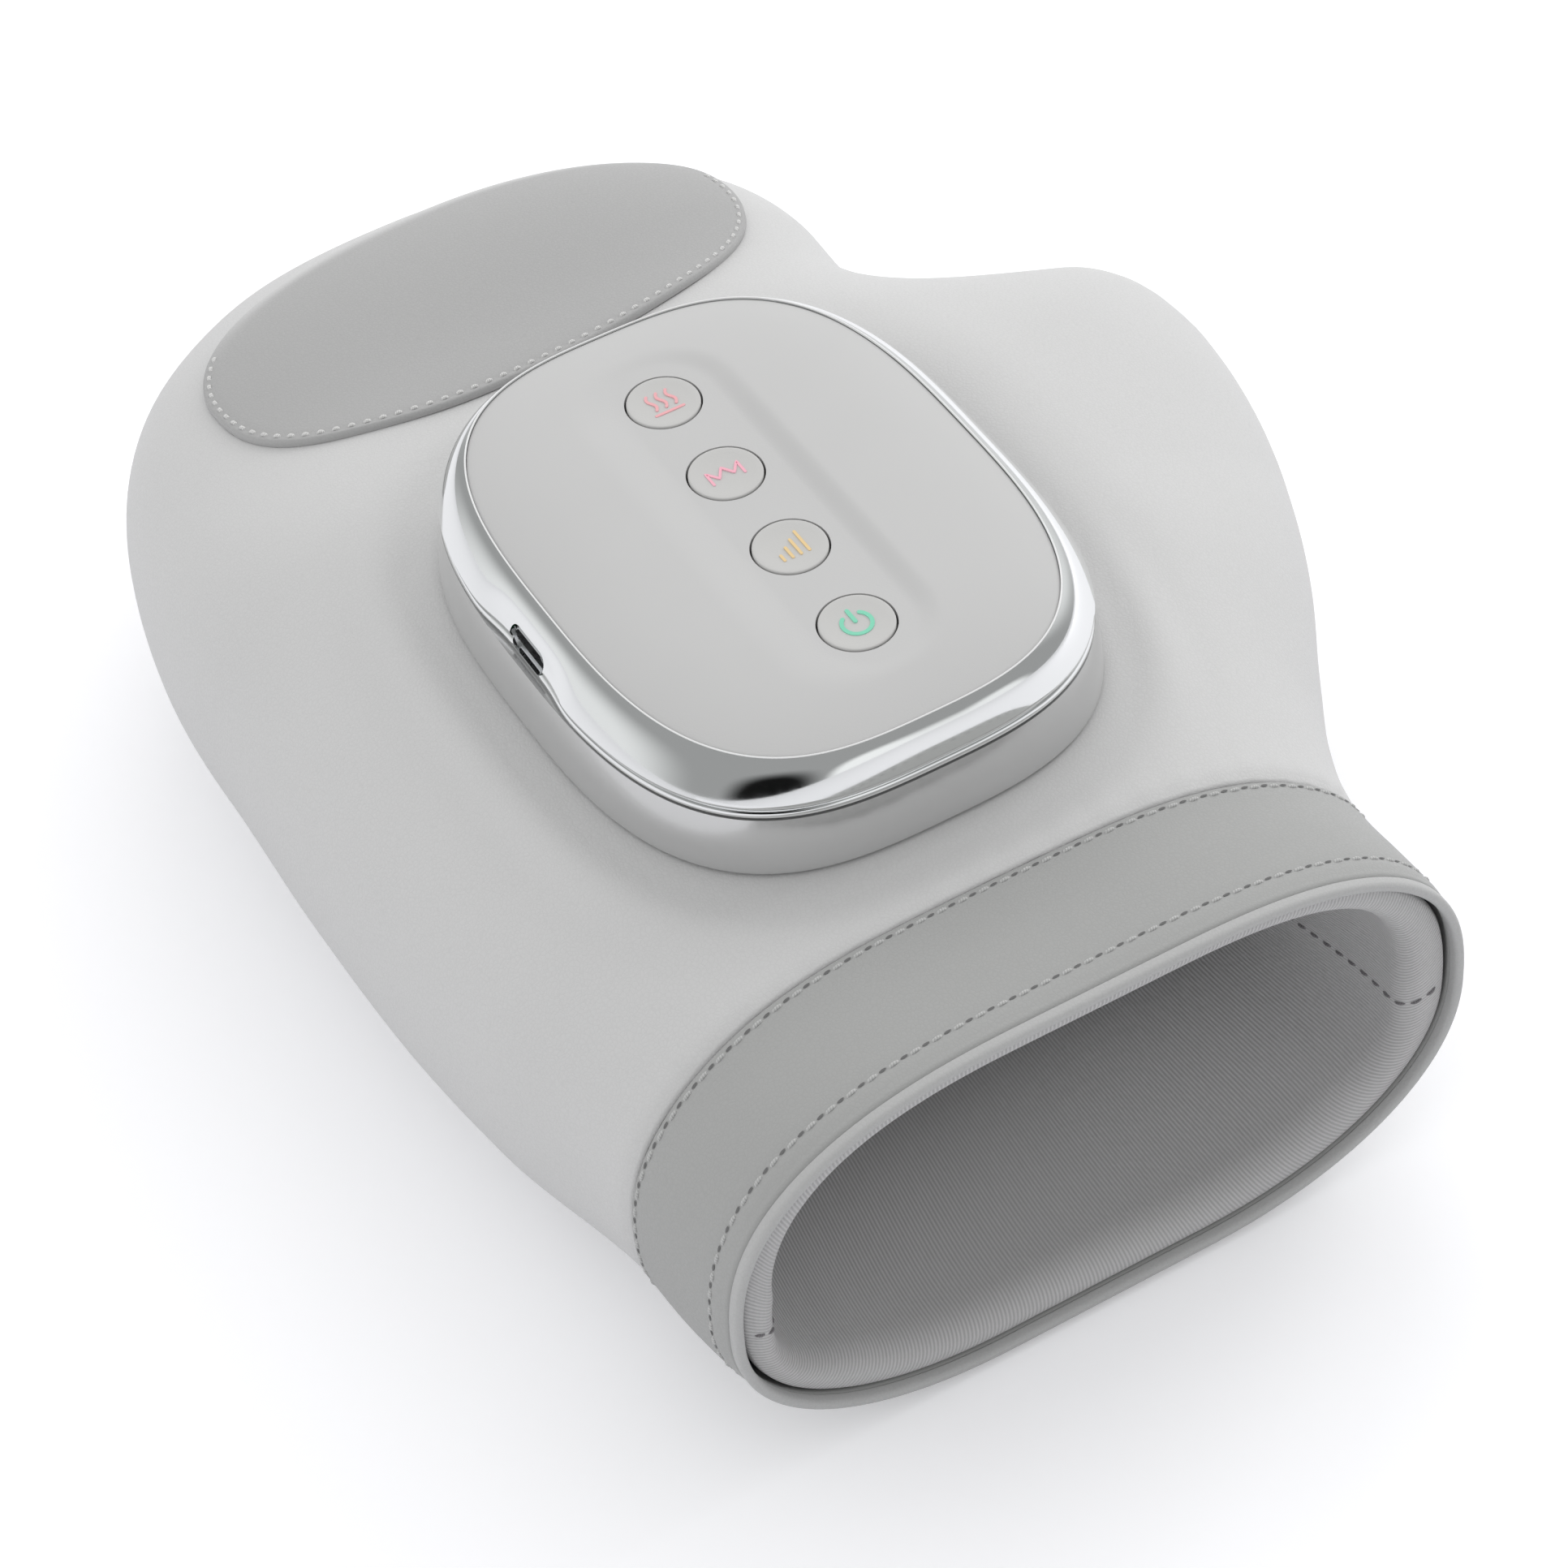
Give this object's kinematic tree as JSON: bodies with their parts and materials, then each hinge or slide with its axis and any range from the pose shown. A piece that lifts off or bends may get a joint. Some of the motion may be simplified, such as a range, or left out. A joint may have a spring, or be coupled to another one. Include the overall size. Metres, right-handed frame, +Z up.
{
  "type": "hand massager",
  "caption": "Padded leather mitt with air bags and heating films round a hand pocket, and a control module with push buttons on its back.",
  "frame": {"origin": "on the floor, under the middle of the control module", "axes": "+Z up, +Y towards the fingertips, +X towards the thumb"},
  "size_m": [0.1753, 0.2292, 0.0862],
  "materials": {
    "light_leather": "smooth coated leather, light warm grey",
    "dark_leather": "smooth coated leather, mid grey",
    "lining_cloth": "fine ribbed knit, purplish grey",
    "foam": "soft open foam",
    "bladder": "welded thin film",
    "heater_film": "printed heating film",
    "grey_plastic": "glossy moulded plastic, light grey",
    "panel_plastic": "matte moulded plastic, light warm grey",
    "chrome": "bright plated",
    "board": "circuit board",
    "black_plastic": "matte black moulding",
    "steel": "plain steel",
    "brass": "turned brass",
    "clear_hose": "silicone hose",
    "battery_wrap": "cell in a shrink sleeve"
  },
  "bodies": {
    "mitt": {"upper_cover": "light_leather", "sole_panel": "light_leather", "cuff_band": "dark_leather", "cuff_binding": "dark_leather", "fingertip_patch": "dark_leather", "cuff_lining": "lining_cloth", "hand_pocket": "lining_cloth", "foam_upper": "foam", "foam_lower": "foam", "airbag_upper": "bladder", "airbag_lower": "bladder", "heating_film_upper": "heater_film", "heating_film_lower": "heater_film", "air_link_hose": "clear_hose", "pump_hose": "clear_hose", "control_housing": "grey_plastic", "chrome_bezel": "chrome", "top_panel": "panel_plastic", "clamp_plate": "black_plastic", "main_board": "board", "port_board": "board", "button_frame": "panel_plastic", "charging_port": "steel", "battery_cell": "battery_wrap", "pump_motor": "steel", "pump_cage": "black_plastic", "pump_head": "black_plastic", "air_manifold": "black_plastic", "valve_body_1": "grey_plastic", "valve_body_2": "grey_plastic", "switch_heat": "black_plastic", "switch_mode": "black_plastic", "switch_level": "black_plastic", "switch_power": "black_plastic", "clamp_screw_1": "steel", "board_screw_1": "steel", "clamp_screw_2": "steel", "board_screw_2": "steel", "clamp_screw_3": "steel", "board_screw_3": "steel", "clamp_screw_4": "steel", "board_screw_4": "steel"},
    "pump_rotor": {"pump_eccentric": "brass"},
    "valve_plunger_1": {"valve_plunger_1": "steel"},
    "valve_plunger_2": {"valve_plunger_2": "steel"},
    "button_heat": {"button_heat": "panel_plastic"},
    "button_mode": {"button_mode": "panel_plastic"},
    "button_level": {"button_level": "panel_plastic"},
    "button_power": {"button_power": "panel_plastic"}
  },
  "joints": [
    {"name": "heat_press", "type": "slide", "parent": "mitt", "child": "button_heat", "axis": [0, 0, -1], "range_m": [0, 0.0005], "stiffness_N_per_m": 1500},
    {"name": "mode_press", "type": "slide", "parent": "mitt", "child": "button_mode", "axis": [0, 0, -1], "range_m": [0, 0.0005], "stiffness_N_per_m": 1500},
    {"name": "level_press", "type": "slide", "parent": "mitt", "child": "button_level", "axis": [0, 0, -1], "range_m": [0, 0.0005], "stiffness_N_per_m": 1500},
    {"name": "power_press", "type": "slide", "parent": "mitt", "child": "button_power", "axis": [0, 0, -1], "range_m": [0, 0.0005], "stiffness_N_per_m": 1500},
    {"name": "pump_spin", "type": "hinge", "parent": "mitt", "child": "pump_rotor", "pos_m": [0.01308, -0.0033, 0.0629], "axis": [0, 1, 0], "continuous": true},
    {"name": "valve_1_lift", "type": "slide", "parent": "mitt", "child": "valve_plunger_1", "axis": [0, 0, 1], "range_m": [0, 0.0012], "stiffness_N_per_m": 300},
    {"name": "valve_2_lift", "type": "slide", "parent": "mitt", "child": "valve_plunger_2", "axis": [0, 0, 1], "range_m": [0, 0.0012], "stiffness_N_per_m": 300}
  ]
}
